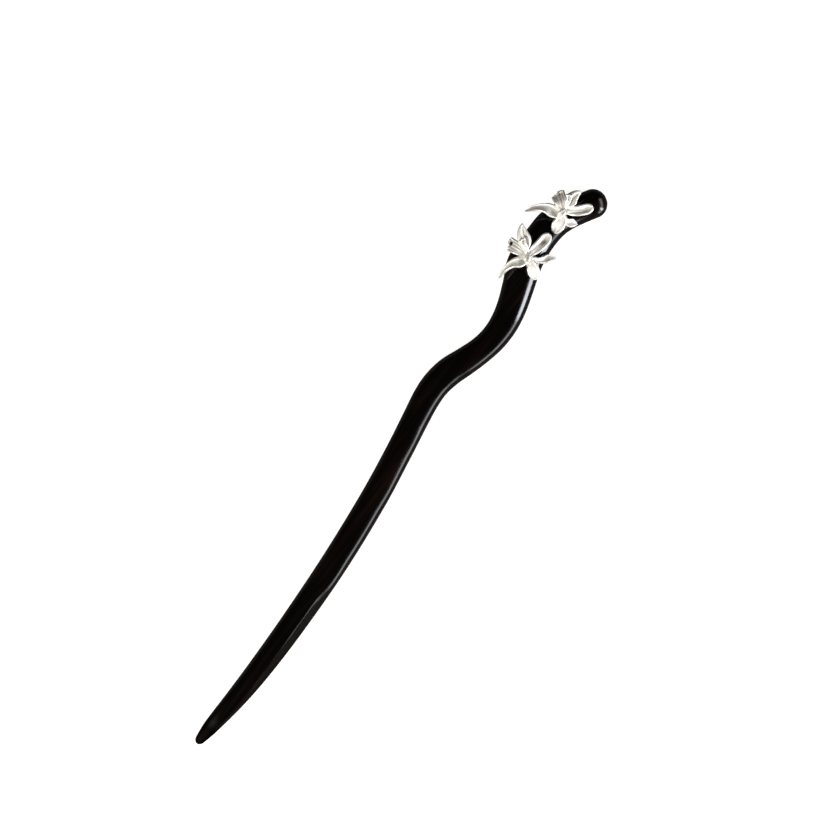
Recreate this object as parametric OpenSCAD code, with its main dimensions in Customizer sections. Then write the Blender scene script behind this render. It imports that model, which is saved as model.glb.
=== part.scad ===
// Hair stick: a carved ebony stick with a pointed tip, an S-bend and a rounded head that carries two cast
// silver flowers. It lies on its underside. +X runs from the tip to the head, +Y to the left as seen from
// above, +Z up, and the origin is under the middle of the whole piece.

/* [Stick] */
// Length along the straight line from the tip to the end of the head
stick_length = 181; // [165:1:195]
// Width of the shaft at its middle
shaft_width = 7.3; // [6.5:0.1:8.5]
// Depth of the shaft as a share of its width
depth_share = 0.88; // [0.8:0.01:1]
// Shape of the section: 2 is an ellipse, more is squarer
section_power = 2.2; // [2:0.05:2.8]
// Height of the tip's underside above the surface
tip_rise = 1.2; // [0:0.1:3]
// Number of sides of the wood's section
section_sides = 24; // [16:4:36]

/* [Flowers] */
// Distance of the lower flower from the tip
lower_along = 155.8; // [154:0.1:157]
// Direction of the lower flower's own axis, in degrees from +X towards +Y
lower_turn = 14; // [5:1:20]
// Distance of the upper flower from the tip
upper_along = 170.4; // [169:0.1:172]
// Direction of the upper flower's own axis, in degrees from +X towards +Y
upper_turn = -25; // [-35:1:-15]
// Size of the flowers, where 1 spans about 18 mm
flower_size = 1; // [0.9:0.01:1.05]
// Thickness of a petal
petal_thick = 0.6; // [0.5:0.05:0.8]
// Gap between the silver and the wood
seat_gap = 0.1; // [0.05:0.01:0.2]
// Steps along a petal
petal_steps = 10; // [8:1:14]
// Steps across a petal
petal_across = 6; // [4:2:8]

/* [Hidden] */

wood_colour = [0.06, 0.05, 0.045];
silver_colour = [0.86, 0.85, 0.82];

// The wood's middle line seen from above, from the tip to the head: distance along the chord, distance aside,
// width, and depth as a share of what the width alone would give it.
ASIDE = 1;
WIDE = 2;
DEEP = 3;
course = [
    // along  aside  wide  deep
    [  0.0,   0.2,  2.1,  1.05],
    [  2.5,   0.1,  3.1,  1.05],
    [  6.0,  -0.1,  4.15, 1.03],
    [ 15.8,  -0.8,  5.5,  1.02],
    [ 25.7,  -1.1,  6.3,  1.0 ],
    [ 40.6,  -0.9,  6.9,  1.0 ],
    [ 60.4,   0.1,  7.3,  1.0 ],
    [ 80.1,   2.1,  7.3,  1.0 ],
    [ 94.8,   4.4,  7.15, 1.0 ],
    [104.6,   6.2,  7.25, 1.0 ],
    [110.0,   7.1,  7.5,  1.0 ],
    [114.4,   7.3,  7.7,  1.0 ],
    [119.2,   6.5,  7.9,  1.0 ],
    [124.0,   4.8,  7.6,  1.0 ],
    [128.8,   3.3,  7.25, 1.02],
    [133.6,   2.5,  7.35, 1.03],
    [138.4,   2.7,  7.7,  1.03],
    [143.2,   3.8,  8.1,  1.02],
    [149.2,   6.0,  8.7,  1.0 ],
    [153.2,   7.7,  9.3,  0.97],
    [157.0,   8.5,  9.2,  0.97],
    [162.0,   8.7,  8.6,  1.0 ],
    [167.0,   8.4,  8.6,  1.0 ],
    [171.0,   6.9,  8.1,  0.98],
    [175.0,   4.7,  7.9,  0.96],
    [181.0,   1.1,  7.9,  0.94],
];
course_width = 7.3;
stretch = stick_length / course[len(course) - 1][0];
thicken = shaft_width / course_width;

// Rounding of the two ends along the chord, and the rings that make the wood's skin
tip_round = 1.3;
head_round = 3.2;
wood_rings = 60;
cap_rings = 7;
cap_turn = 84;
rise_run = 55;

// Where the middle of the whole piece lies on the chord and beside it
middle_along = 90.8 * stretch;
middle_aside = 6.0;

// A petal is a thin leaf that leaves the flower at a turn, counted clockwise from the way to the stick's head.
// Its end is rounded over a length, a lip lifts its very end, and a slant makes its right side longer than its
// left. Across it has five heights, from its right edge to its left edge. Its rows along give the distance out,
// the way aside to the left, the height above the crown of the wood, the width, and how far it leans down to
// its right, in degrees.
TURN = 0;
ROUND = 1;
LIP = 2;
SLANT = 3;
ACROSS = 4;
ROWS = 5;
LEFT = 1;
UP = 2;
BROAD = 3;
LEAN = 4;
spoon_petal = [21, 1.6, 0.35, 0, [0.55, -0.1, -0.2, -0.1, 0.45], [
    // out  left   up    broad lean
    [0.2,  0.2,   1.3,  1.1,   0],
    [1.3,  0.1,   1.8,  1.8,   0],
    [2.5, -0.05,  2.05, 2.5,   0],
    [4.5, -0.2,   2.0,  2.9,   0],
    [6.3, -0.15,  1.6,  3.0,   0],
    [8.4,  0.05,  1.4,  2.8,   0],
]];
side_petal = [70, 0.4, 0, 0, [0.2, -0.05, -0.12, 0.1, 0.25], [
    [0.4, -0.2,   1.0,  0.9,   0],
    [1.5, -0.37,  1.2,  1.2,   0],
    [3.0, -0.72,  1.1,  1.5,  -4],
    [4.4, -0.5,   0.4,  2.0, -18],
    [5.6,  0.05, -0.3,  2.5, -34],
    [6.6,  0.13, -0.9,  1.8, -42],
    [7.7,  0.05, -1.7,  0.3, -45],
]];
oval_petal = [138, 2.0, 0.3, 0, [0.4, 0.0, 0.08, -0.05, 0.35], [
    [0.8,  0.0,   0.95, 1.6,   0],
    [1.6,  0.1,   1.2,  2.3,   0],
    [2.6,  0.28,  1.35, 3.0,   0],
    [3.6,  0.22,  1.25, 3.3,   0],
    [4.8,  0.1,   0.85, 3.2,   0],
    [6.3,  0.0,   0.3,  2.8,   0],
]];
long_petal = [210, 0.5, 0, 0, [0.4, -0.15, -0.28, -0.05, 0.45], [
    [0.6,  0.3,   1.2,  2.2,   0],
    [1.6,  0.1,   1.45, 2.8,   0],
    [2.6, -0.25,  1.7,  3.15,  4],
    [3.7, -0.85,  1.85, 2.9,  10],
    [5.0, -1.12,  1.6,  2.35, 18],
    [6.5, -1.12,  0.95, 1.95, 27],
    [8.0, -0.8,  -0.3,  1.6,  35],
    [9.5,  0.0,  -2.0,  0.6,  40],
]];
fan_petal = [280, 0.4, 0.4, 0.45, [0.3, -0.1, 0.12, -0.1, 0.3], [
    [0.5, -0.25,  1.4,  1.2,   0],
    [1.5, -0.2,   1.8,  1.9,   0],
    [2.5, -0.22,  2.1,  2.65,  0],
    [3.5, -0.3,   2.05, 3.2,   0],
    [4.6, -0.3,   1.6,  3.5,   0],
    [5.6, -0.25,  0.9,  3.7,   0],
    [6.3, -0.2,   0.4,  3.8,   0],
]];
folded_petal = [328.5, 0.3, 0, 0, [0.65, -0.05, -0.25, 0.45, -0.2], [
    [0.5,  0.0,   1.6,  0.9,   0],
    [1.5,  0.07,  2.0,  1.2,   0],
    [2.5,  0.05,  2.3,  1.8,   0],
    [3.5,  0.0,   2.45, 2.75,  0],
    [4.5,  0.08,  2.55, 3.4,   0],
    [5.5,  0.24,  2.6,  3.4,   0],
    [6.5,  0.36,  2.65, 2.95,  0],
    [8.0,  0.28,  2.7,  1.95,  0],
    [9.4,  0.03,  2.8,  0.35,  0],
]];
petals = [spoon_petal, side_petal, oval_petal, long_petal, fan_petal, folded_petal];

// Least width at a petal's very end as a share, where its lip starts, where it has opened to its full hollow,
// and how much closer its rings stand towards the end
end_share = 0.25;
lip_start = 0.8;
open_by = 0.33;
crowding = 0.4;

// How far each flower's middle lies to the left of the wood's middle line
lower_beside = 0.05;
upper_beside = 1.0;

// How each casting was bent to the wood, a petal a row: turned further, longer seen from above, end lower,
// broader, its very end curled to the left, and its lean as a share
FURTHER = 0;
LONGER = 1;
LOWER = 2;
BROADER = 3;
CURL = 4;
LEANING = 5;
lower_bends = [
    [ 0,   1.0,  0, 1.02, 0, 1],
    [ 0,   1.0,  0, 1.0,  0, 1],
    [-1.5, 1.02, 0, 0.97, 0, 1],
    [ 0,   0.98, 0, 0.92, 0, 1],
    [ 0,   0.97, 0, 1.0,  0, 1],
    [-0.5, 0.95, 0, 1.0,  0, 1],
];
upper_bends = [
    [-1, 0.97,  0,   0.95,  0.3, 1],
    [10, 0.65, -1,   1.05,  1,   0.8],
    [ 2, 0.95,  0,   1.05,  0,   1],
    [ 0, 1.04,  0,   1.08,  0,   1],
    [ 0, 0.84,  0.3, 1.02,  0,   1],
    [ 4, 0.77,  0.6, 0.95, -1,   1],
];

// The middle of a flower: boss, sheath, pistil, filaments and anther
boss_radius = 1.5;
boss_height = 1.6;
sheath_radius = 1.2;
sheath_height = 1.3;
sheath_turn = 190;
sheath_reach = 1.1;
pistil_turn = 164;
pistil_start = -0.9;
pistil_end = 1.7;
pistil_radius = 0.95;
pistil_height = 2.7;
filament_radius = 0.25;
filament_starts = [[1.1, 331], [1.6, 343]];
filament_ends = [[4.7, 312], [4.9, 327]];
filament_foot = 2.2;
filament_height = 3.5;
filament_bow = 4;
anther_radius = 0.4;
round_fn = 8;

// Smooth values between the rows of a table, whose first column is the way along
function row_before(table, x, i = 0) =
    i >= len(table) - 2 || table[i + 1][0] > x ? i : row_before(table, x, i + 1);
function slope_at(table, i, c) =
    let (a = max(0, i - 1), b = min(len(table) - 1, i + 1))
    (table[b][c] - table[a][c]) / (table[b][0] - table[a][0]);
function between(table, x, c) =
    let (
        i = row_before(table, x),
        run = table[i + 1][0] - table[i][0],
        t = (x - table[i][0]) / run,
        t2 = t * t,
        t3 = t2 * t
    )
    (2 * t3 - 3 * t2 + 1) * table[i][c] + (t3 - 2 * t2 + t) * run * slope_at(table, i, c)
        + (3 * t2 - 2 * t3) * table[i + 1][c] + (t3 - t2) * run * slope_at(table, i + 1, c);

// The wood at a distance x along the chord of the table
wood_end = course[len(course) - 1][0];
function round_off(left, length) = sqrt(max(0, 1 - pow(1 - min(1, max(0, left) / length), 2)));
function rounding(x) = round_off(x, tip_round) * round_off(wood_end - x, head_round);
function full_wide(x) = between(course, x, WIDE) * thicken;
function full_deep(x) = full_wide(x) * between(course, x, DEEP) * depth_share;
function signed_pow(v, p) = sign(v) * pow(abs(v), p);
foot_share = signed_pow(cos(180 / section_sides), 2 / section_power);
function underside(x) = tip_rise * pow(max(0, 1 - x / rise_run), 2);
function axis_height(x) = underside(x) + foot_share * full_deep(x) / 2;
function crown(x) = axis_height(x) + full_deep(x) * rounding(x) / 2;
function heading(x) =
    let (d = 0.4)
    atan2(between(course, x + d, ASIDE) - between(course, x - d, ASIDE), 2 * d * stretch);

// One ring of points across the wood, flat side down and flat to both sides
function ring(x, grow) =
    let (
        turn = heading(x),
        a = full_wide(x) * rounding(x) / 2 / foot_share + grow,
        b = full_deep(x) * rounding(x) / 2 + grow,
        p = 2 / section_power
    )
    [for (k = [0 : section_sides - 1])
        let (
            t = (k + 0.5) * 360 / section_sides,
            across = a * signed_pow(cos(t), p)
        )
        [
            x * stretch - sin(turn) * across,
            between(course, x, ASIDE) + cos(turn) * across,
            axis_height(x) + b * signed_pow(sin(t), p)
        ]];

// Where the rings stand: close together on the round ends
ring_places = [
    for (k = [1 : cap_rings]) tip_round * (1 - cos(k * 90 / cap_rings)),
    for (k = [1 : wood_rings - 1])
        tip_round + (wood_end - tip_round - head_round) * k / wood_rings,
    for (k = [0 : cap_rings - 1])
        wood_end - head_round * (1 - sin(k * cap_turn / (cap_rings - 1))),
];

// Skin over equal rings, with flat ends
module skin(rings) {
    n = len(rings[0]);
    m = len(rings);
    sides = [
        for (i = [0 : m - 2], j = [0 : n - 1])
            let (a = i * n + j, b = i * n + (j + 1) % n)
            each [[a, b + n, b], [a, a + n, b + n]]
    ];
    start = [for (j = [1 : n - 2]) [0, j, j + 1]];
    finish = [for (j = [1 : n - 2]) [(m - 1) * n, (m - 1) * n + j + 1, (m - 1) * n + j]];
    polyhedron(points = [for (r = rings) each r], faces = concat(sides, start, finish), convexity = 8);
}

module wood(grow = 0) {
    translate([-middle_along, -middle_aside, 0])
        skin([for (x = ring_places) ring(x, grow)]);
}

module stick() {
    color(wood_colour) wood();
}

// A point of a petal's middle surface: s runs from its root to its end, v from its right edge to its left
function petal_point(p, s, v) =
    let (
        rows = p[ROWS],
        start = rows[0][0],
        reach = rows[len(rows) - 1][0] - start,
        out = start + reach * s,
        d = 0.1,
        bend = atan2(between(rows, out + d, LEFT) - between(rows, out - d, LEFT), 2 * d),
        lean = between(rows, out, LEAN),
        half = between(rows, out, BROAD) / 2 * max(end_share, round_off(reach * (1 - s), p[ROUND])),
        table = [for (k = [0 : 4]) [k / 2 - 1, p[ACROSS][k]]],
        share = half * 2 / max([for (r = rows) r[BROAD]]),
        hollow = between(table, v, 1) * share * min(1, s / open_by),
        lift = p[LIP] * pow(max(0, (s - lip_start) / (1 - lip_start)), 2),
        side = half * v * cos(lean) + hollow * sin(lean)
    )
    [
        out - side * sin(bend) - p[SLANT] * v * pow(s, 3),
        between(rows, out, LEFT) + side * cos(bend),
        between(rows, out, UP) + lift + hollow * cos(lean) + half * v * sin(lean)
    ];
function petal_normal(p, s, v) =
    let (
        d = 0.02,
        near = min(s, 0.85),
        along = petal_point(p, near + d, v) - petal_point(p, near - d, v),
        over = petal_point(p, near, v + d) - petal_point(p, near, v - d),
        n = cross(along, over)
    )
    n / norm(n);

// A petal is a tube of rings that go once round its thin section
module petal(p) {
    rotate([0, 0, -p[TURN]])
        skin([for (i = [0 : petal_steps])
            let (t = i / petal_steps, s = t * (1 + crowding - crowding * t), half = petal_across / 2)
            [for (face = [1, -1], j = [half : -1 : -half])
                let (v = face * j / half)
                petal_point(p, s, v) + face * petal_normal(p, s, v) * petal_thick / 2]]);
}

// The same petal bent to the wood
function bent(p, bend) =
    let (last = len(p[ROWS]) - 1)
    [
        p[TURN] + bend[FURTHER],
        p[ROUND],
        p[LIP],
        p[SLANT],
        p[ACROSS],
        [for (i = [0 : last])
            let (r = p[ROWS][i], share = i / last)
            [
                r[0] * bend[LONGER],
                r[LEFT] + bend[CURL] * pow(share, 4),
                r[UP] - bend[LOWER] * pow(share, 2),
                r[BROAD] * bend[BROADER],
                r[LEAN] * bend[LEANING]
            ]]
    ];

// A point at a turn and a distance from the middle of the flower
function spoke(out, turn, height) = [out * cos(turn), -out * sin(turn), height];

module bead(place, radius) {
    translate(place) sphere(r = radius, $fn = round_fn);
}

// Round rod through points, as thick as their radii
module rod(places, radii) {
    for (k = [0 : len(places) - 2]) hull() {
        bead(places[k], radii[k]);
        bead(places[k + 1], radii[k + 1]);
    }
}

module flower_middle() {
    // Boss that the petals grow from, down to the wood
    translate([0, 0, -boss_radius])
        cylinder(r = boss_radius, h = boss_radius + boss_height, $fn = 16);
    // Sheath round the foot of the pistil
    hull() {
        bead(spoke(0, 0, sheath_height), sheath_radius);
        bead(spoke(sheath_reach, sheath_turn, sheath_height), sheath_radius);
    }
    // Drop-shaped pistil, leaning away from the filaments
    rod(
        [
            spoke(pistil_start, pistil_turn, pistil_height),
            spoke(0, pistil_turn, pistil_height),
            spoke(pistil_end / 2, pistil_turn, pistil_height - 0.1),
            spoke(pistil_end, pistil_turn, pistil_height - 0.5)
        ],
        [pistil_radius * 0.3, pistil_radius * 0.9, pistil_radius, pistil_radius * 0.4]
    );
    // Two filaments, and the anther across their ends
    for (k = [0, 1])
        rod(
            [
                spoke(filament_starts[k][0], filament_starts[k][1], filament_foot),
                spoke(filament_ends[k][0] * 0.6, filament_ends[k][1] + filament_bow, filament_height),
                spoke(filament_ends[k][0], filament_ends[k][1], filament_height)
            ],
            [filament_radius * 1.4, filament_radius, filament_radius]
        );
    rod([for (e = filament_ends) spoke(e[0], e[1], filament_height)], [anther_radius, anther_radius]);
}

// A flower on the crown of the wood, which is cut from its underside
module flower(along, beside, turn, bends) {
    across = heading(along);
    color(silver_colour) difference() {
        translate([
            along * stretch - middle_along - sin(across) * beside,
            between(course, along, ASIDE) - middle_aside + cos(across) * beside,
            crown(along)
        ])
            rotate([0, 0, turn])
                scale(flower_size) {
                    for (k = [0 : len(petals) - 1]) petal(bent(petals[k], bends[k]));
                    flower_middle();
                }
        wood(seat_gap);
    }
}

module lower_flower() {
    flower(lower_along, lower_beside, lower_turn, lower_bends);
}

module upper_flower() {
    flower(upper_along, upper_beside, upper_turn, upper_bends);
}

stick();
lower_flower();
upper_flower();
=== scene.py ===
import math

import bmesh
import bpy
import numpy as np
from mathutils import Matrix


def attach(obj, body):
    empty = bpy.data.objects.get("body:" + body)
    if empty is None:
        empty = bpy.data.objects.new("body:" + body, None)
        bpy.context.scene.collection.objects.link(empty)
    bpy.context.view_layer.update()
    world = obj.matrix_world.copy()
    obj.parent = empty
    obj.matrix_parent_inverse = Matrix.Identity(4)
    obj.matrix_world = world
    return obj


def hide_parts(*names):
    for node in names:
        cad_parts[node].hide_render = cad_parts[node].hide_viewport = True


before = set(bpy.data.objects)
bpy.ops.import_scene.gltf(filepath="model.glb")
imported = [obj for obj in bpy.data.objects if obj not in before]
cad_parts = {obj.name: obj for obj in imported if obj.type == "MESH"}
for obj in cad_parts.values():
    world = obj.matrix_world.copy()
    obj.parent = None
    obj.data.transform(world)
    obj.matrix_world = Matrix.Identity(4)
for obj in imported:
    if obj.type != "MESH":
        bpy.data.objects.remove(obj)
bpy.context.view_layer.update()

# Stick
# One piece of ebony, sawn from a straight billet, bent by carving alone and drawn down to a point. It is scraped,
# sanded and oiled to a soft polish, so its grain runs straight through while its outline swings. The scraper has
# left one long flat on the right of the lower shaft, with a soft ridge along its upper edge.
MM = 0.001
MIDDLE_ALONG = 90.8
MIDDLE_ASIDE = 6.0
ASIDE, WIDE, DEEP = 1, 2, 3
COURSE = np.array([
    # along  aside  wide  deep, in mm along the chord from the tip, and the depth as a share
    [0.0, 0.2, 2.1, 1.05],
    [2.5, 0.1, 3.1, 1.05],
    [6.0, -0.1, 4.15, 1.03],
    [15.8, -0.8, 5.5, 1.02],
    [25.7, -1.1, 6.3, 1.0],
    [40.6, -0.9, 6.9, 1.0],
    [60.4, 0.1, 7.3, 1.0],
    [80.1, 2.1, 7.3, 1.0],
    [94.8, 4.4, 7.15, 1.0],
    [104.6, 6.2, 7.25, 1.0],
    [110.0, 7.1, 7.5, 1.0],
    [114.4, 7.3, 7.7, 1.0],
    [119.2, 6.5, 7.9, 1.0],
    [124.0, 4.8, 7.6, 1.0],
    [128.8, 3.3, 7.25, 1.02],
    [133.6, 2.5, 7.35, 1.03],
    [138.4, 2.7, 7.7, 1.03],
    [143.2, 3.8, 8.1, 1.02],
    [149.2, 6.0, 8.7, 1.0],
    [153.2, 7.7, 9.3, 0.97],
    [157.0, 8.5, 9.2, 0.97],
    [162.0, 8.7, 8.6, 1.0],
    [167.0, 8.4, 8.6, 1.0],
    [171.0, 6.9, 8.1, 0.98],
    [175.0, 4.7, 7.9, 0.96],
    [181.0, 1.1, 7.9, 0.94],
])
WOOD_END = 181.0
DEPTH_SHARE = 0.88
# 2 is an ellipse, more is squarer. The underside is a flat as wide as one side of the solid's section.
SECTION_POWER = 2.2
SOLID_SIDES = 24
FOOT_SHARE = math.cos(math.radians(180 / SOLID_SIDES)) ** (2 / SECTION_POWER)
# The tip's underside stands this far above the table, and comes down to it over a run
TIP_RISE = 1.2
RISE_RUN = 55.0
TIP_ROUND = 1.3
HEAD_ROUND = 3.2
WOOD_RINGS = 360
WOOD_SIDES = 96


def between(table, x, column):
    """Smooth value of a column at x, where each row's slope comes from the rows on both sides of it."""
    at, value = table[:, 0], table[:, column]
    row = np.arange(len(at))
    before, after = np.maximum(row - 1, 0), np.minimum(row + 1, len(at) - 1)
    slope = (value[after] - value[before]) / (at[after] - at[before])
    i = np.clip(np.searchsorted(at, x, side="right") - 1, 0, len(at) - 2)
    run = at[i + 1] - at[i]
    t = (x - at[i]) / run
    return (
        (2 * t**3 - 3 * t**2 + 1) * value[i]
        + (t**3 - 2 * t**2 + t) * run * slope[i]
        + (3 * t**2 - 2 * t**3) * value[i + 1]
        + (t**3 - t**2) * run * slope[i + 1]
    )


def ease(x, low, high):
    """0 below low, 1 above high, and a smooth step between them."""
    t = np.clip((x - low) / (high - low), 0, 1)
    return t * t * (3 - 2 * t)


def round_off(left, length):
    """Share of the full width where so much is left before a rounded end or edge of that length."""
    return np.sqrt(1 - (1 - np.clip(left / length, 0, 1)) ** 2)


def rounding(x):
    return round_off(x, TIP_ROUND) * round_off(WOOD_END - x, HEAD_ROUND)


def full_deep(x):
    return between(COURSE, x, WIDE) * between(COURSE, x, DEEP) * DEPTH_SHARE


def axis_height(x):
    return TIP_RISE * np.maximum(0, 1 - x / RISE_RUN) ** 2 + FOOT_SHARE * full_deep(x) / 2


def heading(x):
    step = 0.4
    rise = between(COURSE, x + step, ASIDE) - between(COURSE, x - step, ASIDE)
    return np.arctan2(rise, 2 * step)


# The scraped flat: how far its normal leans from the right towards the top, its distance from the middle as a share of
# the half depth, the softness of its two edges in mm, and where along the stick it fades in and out
FLAT_LEAN = math.radians(43)
FLAT_SHARE = 0.965
FLAT_SOFT = 0.04
FLAT_FADES = (10.0, 24.0, 46.0, 56.0)
# The tool's waves, each with a length along, a height in mm and the number of swings round the wood, how far above the
# middle they set in, and what the tool took off each side in mm
WAVES = ((31.0, 0.035, 1), (13.7, 0.02, 2), (7.9, 0.01, 1))
WAVES_ABOVE = (0.1, 1.0)
SCRAPED = 0.02


def wood_rings(places, sides, grow=0.0, carved=True):
    """Rings of points across the wood in mm, at places along the chord."""
    x = places[:, None]
    turn = heading(x)
    t = (np.arange(sides)[None] + 0.5) * 2 * math.pi / sides
    half_wide = between(COURSE, x, WIDE) * rounding(x) / 2 + grow - (SCRAPED if carved else 0)
    half_deep = full_deep(x) * rounding(x) / 2 + grow
    power = 2 / SECTION_POWER
    across = half_wide * np.sign(np.cos(t)) * np.abs(np.cos(t)) ** power
    up = half_deep * np.sign(np.sin(t)) * np.abs(np.sin(t)) ** power
    if carved:
        above = ease(up, *WAVES_ABOVE)
        swing = sum(
            high * np.sin(2 * math.pi * x / run + swings * t + run) for run, high, swings in WAVES
        )
        fade_in, full_in, full_out, fade_out = FLAT_FADES
        fade = ease(x, fade_in, full_in) * (1 - ease(x, full_out, fade_out))
        outward = np.array([-math.cos(FLAT_LEAN), math.sin(FLAT_LEAN)])
        proud = across * outward[0] + up * outward[1] - FLAT_SHARE * half_deep
        pressed = FLAT_SOFT * np.logaddexp(0, proud / FLAT_SOFT) * fade
        shift = swing * above * rounding(x)
        across = across * (1 + shift / half_wide) - pressed * outward[0]
        up = up * (1 + shift / half_deep) - pressed * outward[1]
    up = np.maximum(up, -FOOT_SHARE * half_deep)
    return np.stack(
        [
            x - np.sin(turn) * across - MIDDLE_ALONG,
            between(COURSE, x, ASIDE) + np.cos(turn) * across - MIDDLE_ASIDE,
            axis_height(x) + up,
        ],
        -1,
    )


def skin(rings):
    """Points and faces of a closed skin over equal rings."""
    count, around = rings.shape[:2]
    index = np.arange(count * around).reshape(count, around)
    near, far = index[:-1], index[1:]
    sides = np.stack([near, np.roll(near, -1, 1), np.roll(far, -1, 1), far], -1).reshape(-1, 4)
    return rings.reshape(-1, 3), sides.tolist() + [index[0][::-1].tolist(), index[-1].tolist()]


def new_piece(name, points, faces):
    mesh = bpy.data.meshes.new(name)
    mesh.from_pydata(points.tolist(), [], faces)
    piece = bpy.data.objects.new(name, mesh)
    bpy.context.scene.collection.objects.link(piece)
    return piece


# Rings stand close together on the two round ends, where the outermost leaves a flat: a share of a quarter turn
END_RINGS = 14
TIP_FLAT, HEAD_FLAT = 0.2, 0.12
tip_places = TIP_ROUND * (1 - np.cos(np.linspace(TIP_FLAT, 1, END_RINGS) * math.pi / 2))
head_places = WOOD_END - HEAD_ROUND * (1 - np.cos(np.linspace(1, HEAD_FLAT, END_RINGS) * math.pi / 2))
body_places = np.linspace(TIP_ROUND, WOOD_END - HEAD_ROUND, WOOD_RINGS)[1:-1]
wood_places = np.concatenate([tip_places, body_places, head_places])
points, faces = skin(wood_rings(wood_places, WOOD_SIDES))
carved_stick = new_piece("carved_stick", points * MM, faces)
carved_stick.data.shade_smooth()


def linear(hex_code):
    """Linear RGBA of an sRGB hex colour."""
    parts = [int(hex_code[i : i + 2], 16) / 255 for i in (1, 3, 5)]
    return [p / 12.92 if p <= 0.04045 else ((p + 0.055) / 1.055) ** 2.4 for p in parts] + [1.0]


def add(tree, kind, inputs, **settings):
    """Adds a node with its settings, and its inputs as values or as the sockets that feed them."""
    made = tree.nodes.new("ShaderNode" + kind)
    for name, value in settings.items():
        setattr(made, name, value)
    for socket, value in inputs.items():
        if isinstance(value, bpy.types.NodeSocket):
            tree.links.new(value, made.inputs[socket])
        else:
            made.inputs[socket].default_value = value
    return made


def new_material(name):
    """A material with an empty tree, and the tree."""
    made = bpy.data.materials.new(name)
    made.use_nodes = True
    made.node_tree.nodes.clear()
    return made, made.node_tree


# Oiled ebony: nearly black, with brown and greenish streaks that only show in strong light. Fine open pores break up
# its polish, so that highlights are soft-edged and a little streaky along the grain. Hair has taken the oil off the
# tip, which is dull.
EBONY_BLACK = "#020101"
EBONY_BROWN = "#0e0604"
EBONY_GREEN = "#020201"
EBONY_IOR = 1.45
EBONY_ROUGH = (0.145, 0.185)
# Nearly all of a noise's values lie between these
NOISE_SPREAD = (0.3, 0.7)
# Streaks and pores have a length and a width in mm. Real pores are 0.1 to 0.2 mm wide, and are drawn a little coarser.
STREAK = (38.0, 1.5)
PORE = (3.2, 0.26)
SWIRL = 9.0
BROWN_FROM = (0.42, 0.72)
OPEN_FROM = (0.56, 0.72)
PORE_ROUGH = 0.05
PORE_DEPTH = 0.02
PORE_STRENGTH = 0.12
# The dull tip: where along the stick it sets in and is full, how much rougher it is, and the shine before and in it
DULL_TIP = (-80.5, -86.0)
DULL_ROUGH = 0.3
SHINE = (0.45, 0.015)


def grain_scale(length, width):
    """Noise scale that draws a pattern so long along the stick and so wide across it, in mm."""
    return (1 / (length * MM), 1 / (width * MM), 1 / (width * MM))


ebony, tree = new_material("oiled_ebony")
place = add(tree, "TexCoord", {}).outputs["Object"]
streak_place = add(tree, "Mapping", {"Vector": place, "Scale": grain_scale(*STREAK)})
streaks = add(
    tree,
    "TexNoise",
    {"Vector": streak_place.outputs[0], "Scale": 1.0, "Detail": 4.0, "Roughness": 0.6, "Distortion": 0.4},
)
swirls = add(tree, "TexNoise", {"Vector": place, "Scale": 1 / (SWIRL * MM), "Detail": 2.0})
pore_place = add(tree, "Mapping", {"Vector": place, "Scale": grain_scale(*PORE)})
pores = add(tree, "TexNoise", {"Vector": pore_place.outputs[0], "Scale": 1.0, "Detail": 2.0, "Roughness": 0.7})
open_pores = add(
    tree, "MapRange", {"Value": pores.outputs["Fac"], "From Min": OPEN_FROM[0], "From Max": OPEN_FROM[1]}
)
browns = add(
    tree,
    "MapRange",
    {"Value": streaks.outputs["Fac"], "From Min": BROWN_FROM[0], "From Max": BROWN_FROM[1]},
    interpolation_type="SMOOTHSTEP",
)
dark = add(
    tree, "Mix", {0: swirls.outputs["Fac"], 6: linear(EBONY_BLACK), 7: linear(EBONY_GREEN)}, data_type="RGBA"
)
wood_colour = add(
    tree, "Mix", {0: browns.outputs[0], 6: dark.outputs[2], 7: linear(EBONY_BROWN)}, data_type="RGBA"
)
wood_rough = add(
    tree,
    "MapRange",
    {
        "Value": streaks.outputs["Fac"],
        "From Min": NOISE_SPREAD[0],
        "From Max": NOISE_SPREAD[1],
        "To Min": EBONY_ROUGH[0],
        "To Max": EBONY_ROUGH[1],
    },
)
along_stick = add(tree, "SeparateXYZ", {"Vector": place}).outputs["X"]
dull = add(
    tree,
    "MapRange",
    {"Value": along_stick, "From Min": DULL_TIP[0] * MM, "From Max": DULL_TIP[1] * MM},
    interpolation_type="SMOOTHSTEP",
)
shine = add(tree, "MapRange", {"Value": dull.outputs[0], "To Min": SHINE[0], "To Max": SHINE[1]})
tip_rough = add(
    tree, "Math", {0: dull.outputs[0], 1: DULL_ROUGH, 2: wood_rough.outputs[0]}, operation="MULTIPLY_ADD"
)
pore_rough = add(
    tree, "Math", {0: open_pores.outputs[0], 1: PORE_ROUGH, 2: tip_rough.outputs[0]}, operation="MULTIPLY_ADD"
)
wood_bump = add(
    tree,
    "Bump",
    {"Height": open_pores.outputs[0], "Strength": PORE_STRENGTH, "Distance": PORE_DEPTH * MM},
    invert=True,
)
wood_shader = add(
    tree,
    "BsdfPrincipled",
    {
        "Base Color": wood_colour.outputs[2],
        "Roughness": pore_rough.outputs[0],
        "IOR": EBONY_IOR,
        "Specular IOR Level": shine.outputs[0],
        "Normal": wood_bump.outputs[0],
    },
)
add(tree, "OutputMaterial", {"Surface": wood_shader.outputs[0]})
carved_stick.data.materials.append(ebony)
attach(carved_stick, "root")
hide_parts("stick")

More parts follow.
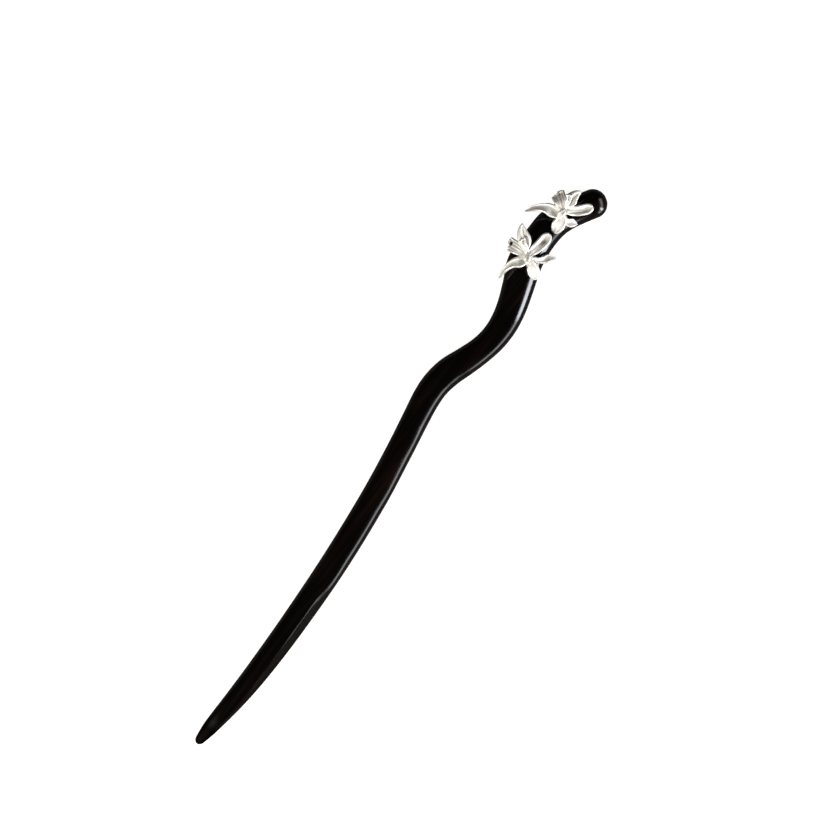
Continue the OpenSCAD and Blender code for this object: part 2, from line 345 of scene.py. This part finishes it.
# Flowers
# Two castings of one orchid-like flower in sterling silver, from one wax: six petals round a grooved pistil, with two
# filaments under an anther. Each is bent to the wood and fixed on its crown out of sight. The silver is left satin
# from the casting and pickling, and its rims and ridges are burnished, with a whiter colour as a painted highlight.
OUT, LEFT, UP, BROAD, LEAN = range(5)
PETAL_THICK = 0.55
SEAT_GAP = 0.1
PETAL_STEPS = 90
PETAL_ACROSS = 36

# A petal leaves the flower at a turn, in degrees clockwise from the way to the stick's head. Its end is rounded over a
# length, lifted by a lip, and cut on a slant that makes its right side longer. Its rim is a bead, as high as said on
# the right and on the left. Across it has nine heights from right to left, one set at the root and one on the blade.
# All lengths are in mm.
PETALS = {
    "spoon": {
        "turn": 21, "round": 1.8, "lip": 0.35, "slant": 0, "rim": (0.18, 0.12),
        "root": (0.15, 0.0, -0.1, 0.0, 0.2, 0.05, -0.1, 0.0, 0.15),
        "blade": (0.5, 0.2, -0.08, -0.26, -0.2, -0.26, -0.08, 0.15, 0.4),
        "rows": (
            # out  left   up  broad, in mm, and lean in degrees
            (0.2, 0.2, 1.3, 1.1, 0),
            (1.3, 0.1, 1.8, 1.8, 0),
            (2.5, -0.05, 2.05, 2.5, 0),
            (4.5, -0.2, 2.0, 2.9, 0),
            (6.3, -0.15, 1.6, 3.0, 0),
            (8.4, 0.05, 1.4, 2.8, 0),
        ),
    },
    "side": {
        "turn": 70, "round": 0.4, "lip": 0, "slant": 0, "rim": (0.05, 0.14),
        "root": (0.0, -0.2, -0.25, -0.1, 0.1, 0.3, 0.42, 0.35, 0.1),
        "blade": (0.2, 0.05, -0.05, -0.12, -0.12, -0.02, 0.1, 0.2, 0.2),
        "rows": (
            (0.4, -0.2, 1.0, 0.8, 0),
            (1.5, -0.37, 1.2, 1.1, 0),
            (3.0, -0.72, 1.1, 1.5, -4),
            (4.4, -0.5, 0.4, 2.0, -18),
            (5.6, 0.05, -0.3, 2.5, -34),
            (6.6, 0.13, -0.9, 1.8, -42),
            (7.7, 0.05, -1.7, 0.3, -45),
        ),
    },
    "oval": {
        "turn": 138, "round": 2.2, "lip": 0.3, "slant": 0, "rim": (0.14, 0.1),
        "root": (0.3, 0.15, 0.1, 0.12, 0.15, 0.12, 0.1, 0.15, 0.3),
        "blade": (0.32, 0.1, 0.03, 0.05, 0.08, 0.0, -0.08, 0.05, 0.3),
        "rows": (
            (0.8, 0.0, 0.95, 1.6, 0),
            (1.6, 0.1, 1.2, 2.3, 0),
            (2.6, 0.28, 1.35, 3.0, 0),
            (3.6, 0.22, 1.25, 3.3, 0),
            (4.8, 0.1, 0.85, 3.2, 0),
            (6.3, 0.0, 0.3, 2.8, 0),
        ),
    },
    "long": {
        "turn": 210, "round": 0.5, "lip": 0, "slant": 0, "rim": (0.18, 0.18),
        "root": (0.45, 0.05, -0.35, -0.5, -0.5, -0.45, -0.25, 0.05, 0.35),
        "blade": (0.32, 0.1, -0.15, -0.25, -0.28, -0.22, -0.05, 0.22, 0.38),
        "rows": (
            (0.6, 0.3, 1.2, 2.2, 0),
            (1.6, 0.1, 1.45, 2.8, 0),
            (2.6, -0.25, 1.7, 3.15, 4),
            (3.7, -0.85, 1.85, 2.9, 10),
            (5.0, -1.12, 1.6, 2.35, 18),
            (6.5, -1.12, 0.95, 1.95, 27),
            (8.0, -0.8, -0.3, 1.6, 35),
            (9.5, 0.0, -2.0, 0.45, 40),
        ),
    },
    "fan": {
        "turn": 280, "round": 0.35, "lip": 0.4, "slant": 0.45, "rim": (0.1, 0.16),
        "root": (0.2, 0.0, -0.1, -0.05, 0.05, -0.05, -0.1, 0.0, 0.2),
        "blade": (0.28, -0.04, 0.08, -0.04, 0.1, -0.05, 0.07, -0.05, 0.24),
        "rows": (
            (0.5, -0.25, 1.4, 1.2, 0),
            (1.5, -0.2, 1.8, 1.9, 0),
            (2.5, -0.22, 2.1, 2.65, 0),
            (3.5, -0.3, 2.05, 3.2, 0),
            (4.6, -0.3, 1.6, 3.5, 0),
            (5.6, -0.25, 0.9, 3.7, 0),
            (6.3, -0.2, 0.4, 3.8, 0),
        ),
    },
    "folded": {
        "turn": 328.5, "round": 0.3, "lip": 0, "slant": 0, "rim": (0.14, 0.0),
        "root": (0.2, 0.15, 0.05, -0.1, -0.2, 0.0, 0.15, 0.15, 0.0),
        "blade": (0.58, 0.3, 0.0, -0.4, -0.12, 0.28, 0.45, 0.33, -0.2),
        "rows": (
            (0.5, 0.0, 1.6, 0.75, 0),
            (1.5, 0.07, 2.0, 1.1, 0),
            (2.5, 0.05, 2.3, 1.8, 0),
            (3.5, 0.0, 2.45, 2.75, 0),
            (4.5, 0.08, 2.55, 3.4, 0),
            (5.5, 0.24, 2.6, 3.4, 0),
            (6.5, 0.36, 2.65, 2.95, 0),
            (8.0, 0.28, 2.7, 1.95, 0),
            (9.4, 0.03, 2.8, 0.35, 0),
        ),
    },
}
# A rim's inner slope lies between these distances from the edge in mm, and the rim rises over these shares of the
# length. The root's heights give way to the blade's over shares of the length too, and the lip starts at one.
RIM_SLOPE = (0.15, 0.6)
RIM_RISES = (0.1, 0.4)
BLADE_OPENS = (0.05, 0.5)
LIP_FROM = 0.75
# The least share of width and of thickness that an end keeps. Its heights level out as if it ended so many mm further.
LEAST_WIDE = 0.04
LEAST_THICK = 0.05
LEVEL_PAST = 0.25
# The way a petal heads is read so many mm to either side, and its slope no nearer to its end than this share of it
BEND_REACH = 0.1
SLOPE_END = 0.93
# The pocket in the fan's end, inside its curled rim: place out and left, half length out, half width, depth, and how
# far the underside bulges with it
POCKET = (5.62, -0.5, 0.36, 0.68, 0.85, 0.5)

# How each casting was bent to the wood, petal by petal: turned further, longer seen from above, end lower, broader, its
# very end curled to the left, and its lean as a share
LOWER_BENDS = {
    "spoon": (0, 1, 0, 1.02, 0, 1),
    "side": (0, 1, 0, 1, 0, 1),
    "oval": (-1.5, 1.02, 0, 0.97, 0, 1),
    "long": (0, 0.98, 0, 0.92, 0, 1),
    "fan": (0, 0.97, 0, 1, 0, 1),
    "folded": (-0.5, 0.95, 0, 1, 0, 1),
}
UPPER_BENDS = {
    "spoon": (-1, 0.97, 0, 0.95, 0.3, 1),
    "side": (10, 0.65, -1, 1.05, 1, 0.8),
    "oval": (2, 0.95, 0, 1.05, 0, 1),
    "long": (0, 1.035, 0, 1.08, 0, 1),
    "fan": (0, 0.84, 0.3, 1.02, 0, 1),
    "folded": (4, 0.77, 0.6, 0.95, -1, 1),
}


def turned(points, angle):
    """Points turned about the upright axis, counterclockwise from above."""
    x, y, z = np.moveaxis(points, -1, 0)
    return np.stack([x * math.cos(angle) - y * math.sin(angle), x * math.sin(angle) + y * math.cos(angle), z], -1)


def petal_rings(petal, bend, hollowed):
    """Rings of points that go once round a petal's thin section, from its root to its end.

    Only the fan is cut on a slant, and only it has flutes that close up towards its end and a pocket, of which
    hollowed is the share that is left.
    """
    further, longer, lower, broader, curl, leaning = bend
    rows = np.array(petal["rows"], float)
    share = np.arange(len(rows)) / (len(rows) - 1)
    rows[:, LEFT] += curl * share**4
    rows[:, BROAD] *= broader
    rows[:, LEAN] *= leaning
    rows[:, UP] -= lower * share**2
    rows[:, OUT] *= longer
    start, reach = rows[0, OUT], rows[-1, OUT] - rows[0, OUT]
    knots = np.linspace(-1, 1, len(petal["root"]))
    root = np.stack([knots, petal["root"]], -1)
    blade = np.stack([knots, petal["blade"]], -1)
    widest = rows[:, BROAD].max()

    def half_broad(s):
        rounded = round_off(reach * (1 - s), petal["round"])
        return between(rows, start + reach * s, BROAD) / 2 * np.maximum(LEAST_WIDE, rounded)

    def sheet(s, v):
        """The middle of the sheet at a share s of the length, and v across from -1 on the right to 1 on the left."""
        out = start + reach * s
        swerve = between(rows, out + BEND_REACH, LEFT) - between(rows, out - BEND_REACH, LEFT)
        bent = np.arctan2(swerve, 2 * BEND_REACH)
        lean = np.radians(between(rows, out, LEAN))
        half = half_broad(s)
        opened = ease(s, *BLADE_OPENS)
        flute = v * round_off(reach * (1 - s), petal["round"]) if petal["slant"] else v
        height = between(root, flute, 1) * (1 - opened) + between(blade, flute, 1) * opened
        height = height * np.minimum(1, between(rows, out, BROAD) / widest)
        height = height * round_off(reach * (1 - s) + LEVEL_PAST, petal["round"])
        lift = petal["lip"] * np.clip((s - LIP_FROM) / (1 - LIP_FROM), 0, 1) ** 2
        side = half * v * np.cos(lean) + height * np.sin(lean)
        return np.stack(
            [
                out - side * np.sin(bent) - petal["slant"] * v * s**3,
                between(rows, out, LEFT) + side * np.cos(bent),
                between(rows, out, UP) + lift + height * np.cos(lean) + half * v * np.sin(lean),
            ],
            -1,
        )

    s = np.sin(np.linspace(0, 1, PETAL_STEPS) * math.pi / 2)[:, None]
    right_to_left = -np.cos(np.linspace(0, 1, PETAL_ACROSS) * math.pi)
    v = np.concatenate([right_to_left[::-1], right_to_left[1:-1]])[None]
    face = np.concatenate([np.ones(PETAL_ACROSS), -np.ones(PETAL_ACROSS - 2)])[None]
    near, step = np.minimum(s, SLOPE_END), 0.01
    slope_along = sheet(near + step, v) - sheet(near - step, v)
    slope_over = sheet(near, np.minimum(v + step, 1)) - sheet(near, np.maximum(v - step, -1))
    normal = np.cross(slope_along, slope_over)
    normal /= np.linalg.norm(normal, axis=-1, keepdims=True)
    to_edge = np.minimum((1 - np.abs(v)) * half_broad(s), reach * (1 - s))
    thick = PETAL_THICK / 2 * np.maximum(LEAST_THICK, round_off(to_edge, PETAL_THICK / 2))
    right_rim, left_rim = petal["rim"]
    rim = np.where(v < 0, right_rim, left_rim) * (1 - ease(to_edge, *RIM_SLOPE)) * ease(s, *RIM_RISES)
    offset = np.where(face > 0, thick + rim * round_off(to_edge, PETAL_THICK / 2), -thick)
    if petal["slant"]:
        pocket_out, pocket_left, long, wide, deep, bulge = POCKET
        away_out = ((start + reach * s) / longer - pocket_out) / long
        away_left = (half_broad(s) * v - pocket_left) / wide
        sunk = np.exp(-((away_out**2 + away_left**2) ** 2))
        offset = offset - hollowed * np.where(face > 0, deep, bulge) * sunk
    return turned(sheet(s, v) + normal * offset[..., None], -math.radians(petal["turn"] + further))


def spoke(out, turn, height):
    """A point at a turn and a distance from the middle of the flower."""
    turn = math.radians(turn)
    return np.array([out * math.cos(turn), -out * math.sin(turn), height])


# A rod ends in a point of this share of its radius
ROD_LEAST = 0.05
ROD_SIDES = 24
ROD_RINGS = 24
ROD_END_RINGS = 6
# The pistil's groove: its depth as a share of the radius, and half its width as an angle round the rod
PISTIL_GROOVE = 0.5
GROOVE_WIDE = 0.75


def rod_rings(places, radii, groove=0.0):
    """Rings of a round rod with round ends through a few places, with a groove of that depth along its top."""
    places, radii = np.array(places, float), np.array(radii, float)
    reach = np.concatenate([[0], np.cumsum(np.linalg.norm(np.diff(places, axis=0), axis=1))])
    table = np.column_stack([reach, places, radii])  # columns 1 to 3 are the place and 4 is the radius
    first, last = radii[0], radii[-1]
    turn = np.linspace(-math.pi / 2, math.pi / 2, 2 * ROD_END_RINGS + 1)
    along = np.concatenate([
        first * np.sin(turn[:ROD_END_RINGS]),
        np.linspace(0, reach[-1], ROD_RINGS),
        reach[-1] + last * np.sin(turn[ROD_END_RINGS + 1 :]),
    ])
    inside = np.clip(along, 0, reach[-1])
    centre = np.stack([between(table, inside, k) for k in (1, 2, 3)], -1)
    step = 0.01
    after, before = np.minimum(inside + step, reach[-1]), np.maximum(inside - step, 0)
    way = np.stack([between(table, after, k) - between(table, before, k) for k in (1, 2, 3)], -1)
    way /= np.linalg.norm(way, axis=1, keepdims=True)
    centre = centre + way * (along - inside)[:, None]
    left = np.cross([0, 0, 1], way)
    left /= np.linalg.norm(left, axis=1, keepdims=True)
    top = np.cross(way, left)
    radius = between(table, inside, 4)
    beyond = np.abs(along - inside) / np.where(along < 0, first, last)
    radius = radius * np.sqrt(np.maximum(ROD_LEAST**2, 1 - beyond**2))
    t = np.arange(ROD_SIDES) * 2 * math.pi / ROD_SIDES
    dent = 1 - groove * np.exp(-(((t - math.pi / 2) / GROOVE_WIDE) ** 4))
    ring = radius[:, None] * dent[None]
    return centre[:, None] + ring[..., None] * (
        left[:, None] * np.cos(t)[None, :, None] + top[:, None] * np.sin(t)[None, :, None]
    )


# The middle of a flower in mm: boss, pistil, neck, filaments and anther, each as places with the radius there
BOSS = [(spoke(0, 0, -1.5), 1.45), (spoke(0.01, 0, 0.2), 1.2), (spoke(0.02, 0, 0.8), 0.8)]
PISTIL = [
    (spoke(-0.95, 164, 2.75), 0.25),
    (spoke(-0.2, 164, 2.8), 0.7),
    (spoke(0.7, 164, 2.65), 0.92),
    (spoke(1.55, 164, 2.2), 0.5),
]
NECK = [(spoke(0, 0, 0.8), 0.8), (spoke(0.1, 164, 2.3), 0.6)]
FILAMENTS = [
    [(spoke(1.1, 331, 2.2), 0.38), (spoke(2.9, 316, 3.3), 0.33), (spoke(4.6, 312, 3.4), 0.3)],
    [(spoke(1.6, 343, 2.2), 0.32), (spoke(2.9, 332, 3.3), 0.24), (spoke(4.8, 327, 3.4), 0.22)],
]
ANTHER = [(spoke(4.6, 312, 3.5), 0.38), (spoke(4.8, 318, 3.55), 0.26), (spoke(4.9, 326, 3.45), 0.33)]


def reshape(piece, kind, **settings):
    """Gives the piece the mesh that one modifier makes of it."""
    made = piece.modifiers.new(kind.lower(), kind)
    for name, value in settings.items():
        setattr(made, name, value)
    mesh = bpy.data.meshes.new_from_object(piece.evaluated_get(bpy.context.evaluated_depsgraph_get()))
    piece.modifiers.remove(made)
    old = piece.data
    piece.data = mesh
    bpy.data.meshes.remove(old)


def neighbours_mean(values, ends):
    """Mean of each vertex's neighbours, for one row of values a vertex."""
    count = np.bincount(ends.ravel(), minlength=len(values))
    both = [
        np.bincount(ends[:, 0], values[ends[:, 1], k], len(values))
        + np.bincount(ends[:, 1], values[ends[:, 0], k], len(values))
        for k in range(values.shape[1])
    ]
    return np.stack(both, -1) / np.maximum(count, 1)[:, None]


def mesh_arrays(mesh):
    places = np.zeros(len(mesh.vertices) * 3)
    mesh.vertices.foreach_get("co", places)
    ends = np.zeros(len(mesh.edges) * 2, int)
    mesh.edges.foreach_get("vertices", ends)
    return places.reshape(-1, 3), ends.reshape(-1, 2)


# The parts are melted into one skin through voxels of this size in mm, whose marks rounds of smoothing take off. Each
# round shrinks by one share and swells again by the other.
VOXEL = 0.08
SMOOTHING = 5
SHRINK, SWELL = 0.5, -0.53


def smooth_mesh(mesh):
    places, ends = mesh_arrays(mesh)
    for _ in range(SMOOTHING):
        for share in (SHRINK, SWELL):
            places += share * (neighbours_mean(places, ends) - places)
    mesh.vertices.foreach_set("co", places.ravel())
    mesh.update()


CUT_JOIN = 0.006  # mm


def clean_cut(mesh):
    """Joins the points that the cut leaves almost on each other, and drops all but the largest body."""
    made = bmesh.new()
    made.from_mesh(mesh)
    bmesh.ops.remove_doubles(made, verts=made.verts, dist=CUT_JOIN)
    unseen, largest = set(made.verts), []
    while unseen:
        body = [unseen.pop()]
        for point in body:
            near = [edge.other_vert(point) for edge in point.link_edges]
            near = [other for other in near if other in unseen]
            unseen.difference_update(near)
            body += near
        if len(body) > len(largest):
            largest = body
    kept = set(largest)
    bmesh.ops.delete(made, geom=[point for point in made.verts if point not in kept], context="VERTS")
    bmesh.ops.triangulate(made, faces=[face for face in made.faces if len(face.verts) > 4])
    made.to_mesh(mesh)
    made.free()


# Relief compares a point with its wider surroundings, a crease with its near ones: more rounds reach wider
RELIEF_ROUNDS = 40
CREASE_ROUNDS = 10
EVENING_ROUNDS = 6


def store_relief(mesh, rounds, name):
    """Keeps how far each point stands proud of its surroundings, in mm, for the burnish, painted highlight and painted
    shade.
    """
    places, ends = mesh_arrays(mesh)
    level = places.copy()
    for _ in range(rounds):
        level += SHRINK * (neighbours_mean(level, ends) - level)
    normals = np.zeros(len(places) * 3)
    mesh.vertices.foreach_get("normal", normals)
    proud = ((places - level) * normals.reshape(-1, 3)).sum(1)[:, None]
    for _ in range(EVENING_ROUNDS):
        proud = neighbours_mean(proud, ends)
    mesh.attributes.new(name, "FLOAT", "POINT").data.foreach_set("value", proud[:, 0].astype(np.float32))


# Painted shade in spots: the pistil's groove, the cup at the long petal's root, the right of the folded petal's crease
# and the fan's pocket, with a painted dark reflection in the hollow of the spoon. Each is a place, how far it spreads
# in mm, and how grey it is, 2 being black.
UNPOLISHED = [
    (spoke(-0.1, 164, 3.0), 0.4, 0.7),
    (spoke(0.45, 164, 3.1), 0.5, 0.9),
    (spoke(0.95, 164, 2.9), 0.45, 0.9),
    (spoke(1.9, 205, 0.9), 0.75, 0.5),
    (spoke(2.6, 209, 1.1), 0.7, 0.4),
    (spoke(4.3, 23, 1.9), 0.55, 0.4),
    (spoke(4.75, 24, 1.9), 0.55, 0.65),
    (spoke(5.2, 25, 1.8), 0.55, 0.9),
    (spoke(5.6, 25, 1.8), 0.55, 1.1),
    (spoke(6.0, 25, 1.7), 0.5, 0.95),
    (spoke(4.8, 333, 2.85), 0.7, 0.25),
    (spoke(5.5, 333, 2.85), 0.75, 0.35),
    (spoke(6.3, 332.5, 3.1), 0.7, 0.25),
    (spoke(5.5, 287.5, 0.4), 0.55, 2.0),
]


def store_unpolished(mesh, middle, angle, left_grey):
    """Keeps how grey each point of a flower is painted as shade, of which left_grey is the share that it gets."""
    as_cast = turned(mesh_arrays(mesh)[0] - middle, -angle)
    grey = np.zeros(len(as_cast))
    for place, spread, most in UNPOLISHED:
        away = np.linalg.norm(as_cast - place, axis=1) / spread
        grey = np.maximum(grey, left_grey * most * np.exp(-(away**3)))
    mesh.attributes.new("unpolished", "FLOAT", "POINT").data.foreach_set("value", grey.astype(np.float32))


# The wood without its tool marks, a seat gap larger all round, is what the undersides are cut to
GROWN_SIDES = 48
GROWN_EVERY = 4
grown_places = wood_places[::GROWN_EVERY]
grown_wood = new_piece("grown_wood", *skin(wood_rings(grown_places, GROWN_SIDES, SEAT_GAP, carved=False)))
# Faces that meet at more than this keep an edge in the light
SHARP = math.radians(50)


def flower(name, along, beside, turn, bends, hollowed, left_grey):
    """A flower on the crown of the wood, in metres.

    It stands so far along from the tip and beside the wood's middle, in mm, turned in degrees from the stick's line.
    """
    parts = [petal_rings(petal, bends[key], hollowed) for key, petal in PETALS.items()]
    for part in (BOSS, NECK, ANTHER, *FILAMENTS):
        parts.append(rod_rings(*zip(*part)))
    parts.append(rod_rings(*zip(*PISTIL), groove=PISTIL_GROOVE))
    points, faces, count = [], [], 0
    for rings in parts:
        part_points, part_faces = skin(rings)
        points.append(part_points)
        faces += [[i + count for i in f] for f in part_faces]
        count += len(part_points)
    points = np.concatenate(points)
    across = float(heading(np.array(along)))
    angle = math.radians(turn)
    centre = np.array([
        along - MIDDLE_ALONG - math.sin(across) * beside,
        float(between(COURSE, np.array(along), ASIDE)) - MIDDLE_ASIDE + math.cos(across) * beside,
        float(axis_height(np.array(along)) + full_deep(np.array(along)) / 2),
    ])
    piece = new_piece(name, turned(points, angle) + centre, faces)
    reshape(piece, "REMESH", mode="VOXEL", voxel_size=VOXEL)
    smooth_mesh(piece.data)
    reshape(piece, "BOOLEAN", operation="DIFFERENCE", solver="MANIFOLD", object=grown_wood)
    clean_cut(piece.data)
    store_relief(piece.data, RELIEF_ROUNDS, "relief")
    store_relief(piece.data, CREASE_ROUNDS, "crease")
    # Painted shade from the spots, kept as an attribute
    store_unpolished(piece.data, centre, angle, left_grey)
    piece.data.transform([[MM, 0, 0, 0], [0, MM, 0, 0], [0, 0, MM, 0], [0, 0, 0, 1]])
    piece.data.shade_smooth()
    piece.data.set_sharp_from_angle(angle=SHARP)
    return piece


# The upper one was finished with more care, so less of its pocket is left, and it gets less painted shade
lower = flower("lower_casting", along=155.8, beside=0.05, turn=14, bends=LOWER_BENDS, hollowed=1.0, left_grey=1.0)
upper = flower("upper_casting", along=170.4, beside=1.0, turn=-25, bends=UPPER_BENDS, hollowed=0.3, left_grey=0.4)
bpy.data.objects.remove(grown_wood)

# Cast sterling silver: satin and slightly warm where the pickle left it. Painted shade makes its hollows beige-grey,
# its creases grey and its deep recesses and some spots dark. Rims, ridges and the filaments are burnished, so they
# glint, and their colour is painted whiter as a highlight.
SILVER_SATIN = "#e6e3dc"
SILVER_BURNISHED = "#f0f0ee"
SILVER_HOLLOW = "#d5ccbd"
SILVER_CREASE = "#7f796e"
SILVER_DEEP = "#2b2926"
# How far proud or sunk a point is, in mm, where the burnish with its painted highlight and each painted shade set in
# and where they are full. The black reads the painted shade spots instead.
BURNISHED_FROM = (0.02, 0.09)
HOLLOW_FROM = (-0.015, -0.065)
CREASE_FROM = (-0.01, -0.035)
DEEP_FROM = (-0.06, -0.095)
BLACK_FROM = (1.0, 1.7)
# The frost scatters light as a white powder does, so the satin is only half metallic, and a burnished place more
SATIN_ROUGH = (0.6, 0.7)
BURNISHED_ROUGH = 0.3
SATIN_METALLIC, BURNISHED_METALLIC = 0.5, 0.7
# Sizes in mm: the tone's clouds, and the pickle's frost, which is really finer and is drawn as coarse as it shows
TONE = 1.6
FROST = 0.14
FROST_DEPTH = 0.006
FROST_STRENGTH = 0.5

silver, tree = new_material("cast_sterling_silver")
place = add(tree, "TexCoord", {}).outputs["Object"]
# The first two attributes measure the shape, and the last holds the painted shade spots
relief, crease, unpolished = [
    add(tree, "Attribute", {}, attribute_type="GEOMETRY", attribute_name=name).outputs["Fac"]
    for name in ("relief", "crease", "unpolished")
]
tone = add(tree, "TexNoise", {"Vector": place, "Scale": 1 / (TONE * MM), "Detail": 3.0})
frost = add(tree, "TexNoise", {"Vector": place, "Scale": 1 / (FROST * MM), "Detail": 2.0, "Roughness": 0.7})
# Masks: the burnish with its painted highlight, and the painted shade of hollows, creases, deep recesses and the
# darkest spots
burnished, hollow, creases, deep, soot = [
    add(
        tree,
        "MapRange",
        {"Value": measure, "From Min": sets_in, "From Max": full},
        interpolation_type="SMOOTHSTEP",
    ).outputs[0]
    for measure, (sets_in, full) in (
        (relief, BURNISHED_FROM),
        (relief, HOLLOW_FROM),
        (crease, CREASE_FROM),
        (relief, DEEP_FROM),
        (unpolished, BLACK_FROM),
    )
]
# Painted highlight on proud places, then painted shade in hollows, creases, deep recesses and the spots
satin = add(tree, "Mix", {0: burnished, 6: linear(SILVER_SATIN), 7: linear(SILVER_BURNISHED)}, data_type="RGBA")
toned = add(tree, "Mix", {0: hollow, 6: satin.outputs[2], 7: linear(SILVER_HOLLOW)}, data_type="RGBA")
grey = add(tree, "Math", {0: creases, 1: unpolished}, operation="MAXIMUM")
creased = add(tree, "Mix", {0: grey.outputs[0], 6: toned.outputs[2], 7: linear(SILVER_CREASE)}, data_type="RGBA")
# The darkest painted shade: deep recesses and the blackest painted spots
black = add(tree, "Math", {0: deep, 1: soot}, operation="MAXIMUM")
dark = add(tree, "Mix", {0: black.outputs[0], 6: creased.outputs[2], 7: linear(SILVER_DEEP)}, data_type="RGBA")
satin_rough = add(
    tree,
    "MapRange",
    {
        "Value": tone.outputs["Fac"],
        "From Min": NOISE_SPREAD[0],
        "From Max": NOISE_SPREAD[1],
        "To Min": SATIN_ROUGH[0],
        "To Max": SATIN_ROUGH[1],
    },
)
# The burnish's roughness and metallic are real; only its whiter colour above is a painted highlight
rough = add(tree, "Mix", {0: burnished, 2: satin_rough.outputs[0], 3: BURNISHED_ROUGH}, data_type="FLOAT")
metal = add(tree, "MapRange", {"Value": burnished, "To Min": SATIN_METALLIC, "To Max": BURNISHED_METALLIC})
skin_bump = add(
    tree, "Bump", {"Height": frost.outputs["Fac"], "Strength": FROST_STRENGTH, "Distance": FROST_DEPTH * MM}
)
silver_shader = add(
    tree,
    "BsdfPrincipled",
    {
        "Base Color": dark.outputs[2],
        "Metallic": metal.outputs[0],
        "Roughness": rough.outputs[0],
        "Normal": skin_bump.outputs[0],
    },
)
add(tree, "OutputMaterial", {"Surface": silver_shader.outputs[0]})
for piece, cad_node in ((lower, "lower_flower"), (upper, "upper_flower")):
    piece.data.materials.clear()
    piece.data.materials.append(silver)
    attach(piece, "root")
    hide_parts(cad_node)

# Table
# A sheet of white paper on a grey table top, which is what the stick lies on. The camera sees the paper, lit from below
# like a light table, and reflections see the duller table round it, as flags beside a small set give.
PAPER = "#fbfbfa"
TABLE_GREY = "#625c55"
PAPER_GLOW = 0.94
PAPER_SHADED = ("#8c8c8c", "#929292")
FIBRES = 40.0  # mm, the size of the paper's faint clouds
FLOOR_HALF = 3.0
corners = np.array([[-1, -1, 0], [1, -1, 0], [1, 1, 0], [-1, 1, 0]]) * FLOOR_HALF
floor = new_piece("paper", corners, [[0, 1, 2, 3]])
paper, tree = new_material("white_paper")
seen = add(tree, "LightPath", {}).outputs["Is Camera Ray"]
place = add(tree, "TexCoord", {}).outputs["Object"]
fibres = add(tree, "TexNoise", {"Vector": place, "Scale": 1 / (FIBRES * MM), "Detail": 3.0})
paper_tone = add(
    tree, "Mix", {0: fibres.outputs["Fac"], 6: linear(PAPER_SHADED[0]), 7: linear(PAPER_SHADED[1])}, data_type="RGBA"
)
paper_face = add(tree, "BsdfDiffuse", {"Color": paper_tone.outputs[2]})
glow = add(tree, "Emission", {"Color": linear(PAPER), "Strength": PAPER_GLOW})
paper_lit = add(tree, "AddShader", {0: paper_face.outputs[0], 1: glow.outputs[0]})
table_face = add(tree, "BsdfDiffuse", {"Color": linear(TABLE_GREY)})
floor_shader = add(tree, "MixShader", {0: seen, 1: table_face.outputs[0], 2: paper_lit.outputs[0]})
add(tree, "OutputMaterial", {"Surface": floor_shader.outputs[0]})
floor.data.materials.append(paper)

# Lights
# A cool window of two panes low on the picture's right draws the long highlight on the wood. A large softbox past the
# tip lights the silver and the paper but finds no slope on the wood to shine from, and a dim one stands past the head.
# The room round them is dim and brown.
PICTURE_RIGHT = (0.6048, -0.7964)  # as a direction on the table


def softbox(name, azimuth, elevation, distance, size, watts, colour):
    """An area light that faces the middle of the stick, in degrees and metres.

    Azimuth is counterclockwise from the picture's right.
    """
    turn = math.atan2(PICTURE_RIGHT[1], PICTURE_RIGHT[0]) + math.radians(azimuth)
    rise = math.radians(elevation)
    lamp = bpy.data.lights.new(name, "AREA")
    lamp.shape = "RECTANGLE"
    lamp.size, lamp.size_y = size
    lamp.energy = watts
    lamp.color = linear(colour)[:3]
    light = bpy.data.objects.new(name, lamp)
    light.location = [
        distance * math.cos(rise) * math.cos(turn),
        distance * math.cos(rise) * math.sin(turn),
        distance * math.sin(rise),
    ]
    light.rotation_euler = (math.pi / 2 - rise, 0, turn + math.pi / 2)
    light.visible_camera = False
    bpy.context.scene.collection.objects.link(light)


for lamp in (
    # name, azimuth, elevation, distance, width and height, watts, colour
    ("window", -33.0, 15, 0.4, (0.19, 0.14), 0.53, "#ebf0f8"),
    ("window_pane", -14, 18, 0.42, (0.1, 0.22), 1.7, "#eef2fa"),
    ("long_softbox", 224, 40, 0.8, (0.62, 0.46), 9.0, "#fffdfb"),
    ("head_softbox", 12, 26, 0.8, (0.6, 0.3), 2.2, "#fffaf4"),
):
    softbox(*lamp)

ROOM_BROWN = "#8f8378"
ROOM_GLOW = 0.1
BACKDROP = "#f4f4f3"
world = bpy.data.worlds.new("room")
world.use_nodes = True
tree = world.node_tree
tree.nodes.clear()
seen = add(tree, "LightPath", {}).outputs["Is Camera Ray"]
room = add(tree, "Background", {"Color": linear(ROOM_BROWN), "Strength": ROOM_GLOW})
backdrop = add(tree, "Background", {"Color": linear(BACKDROP), "Strength": 1.0})
shown = add(tree, "MixShader", {0: seen, 1: room.outputs[0], 2: backdrop.outputs[0]})
add(tree, "OutputWorld", {"Surface": shown.outputs[0]})
bpy.context.scene.world = world

# Camera
# It looks straight down through a long lens, turned so that the picture's right is the one given above. Its frame is so
# wide at the height of the wood's middle, and its middle is at that place on the table.
FRAME_WIDE = 217.47 * MM
FRAME_MIDDLE = (13.99 * MM, 2.65 * MM)
SUBJECT_HEIGHT = 4 * MM
LENS = 240.0
SENSOR = 36.0
CLIP = (0.01, 20.0)
camera = bpy.data.cameras.new("camera")
camera.lens = LENS
camera.sensor_width = SENSOR
camera.clip_start, camera.clip_end = CLIP
viewer = bpy.data.objects.new("camera", camera)
viewer.location = (*FRAME_MIDDLE, SUBJECT_HEIGHT + FRAME_WIDE * LENS / SENSOR)
viewer.rotation_euler = (0, 0, math.atan2(PICTURE_RIGHT[1], PICTURE_RIGHT[0]))
bpy.context.scene.collection.objects.link(viewer)
bpy.context.scene.camera = viewer
bpy.context.scene.view_settings.view_transform = "Standard"
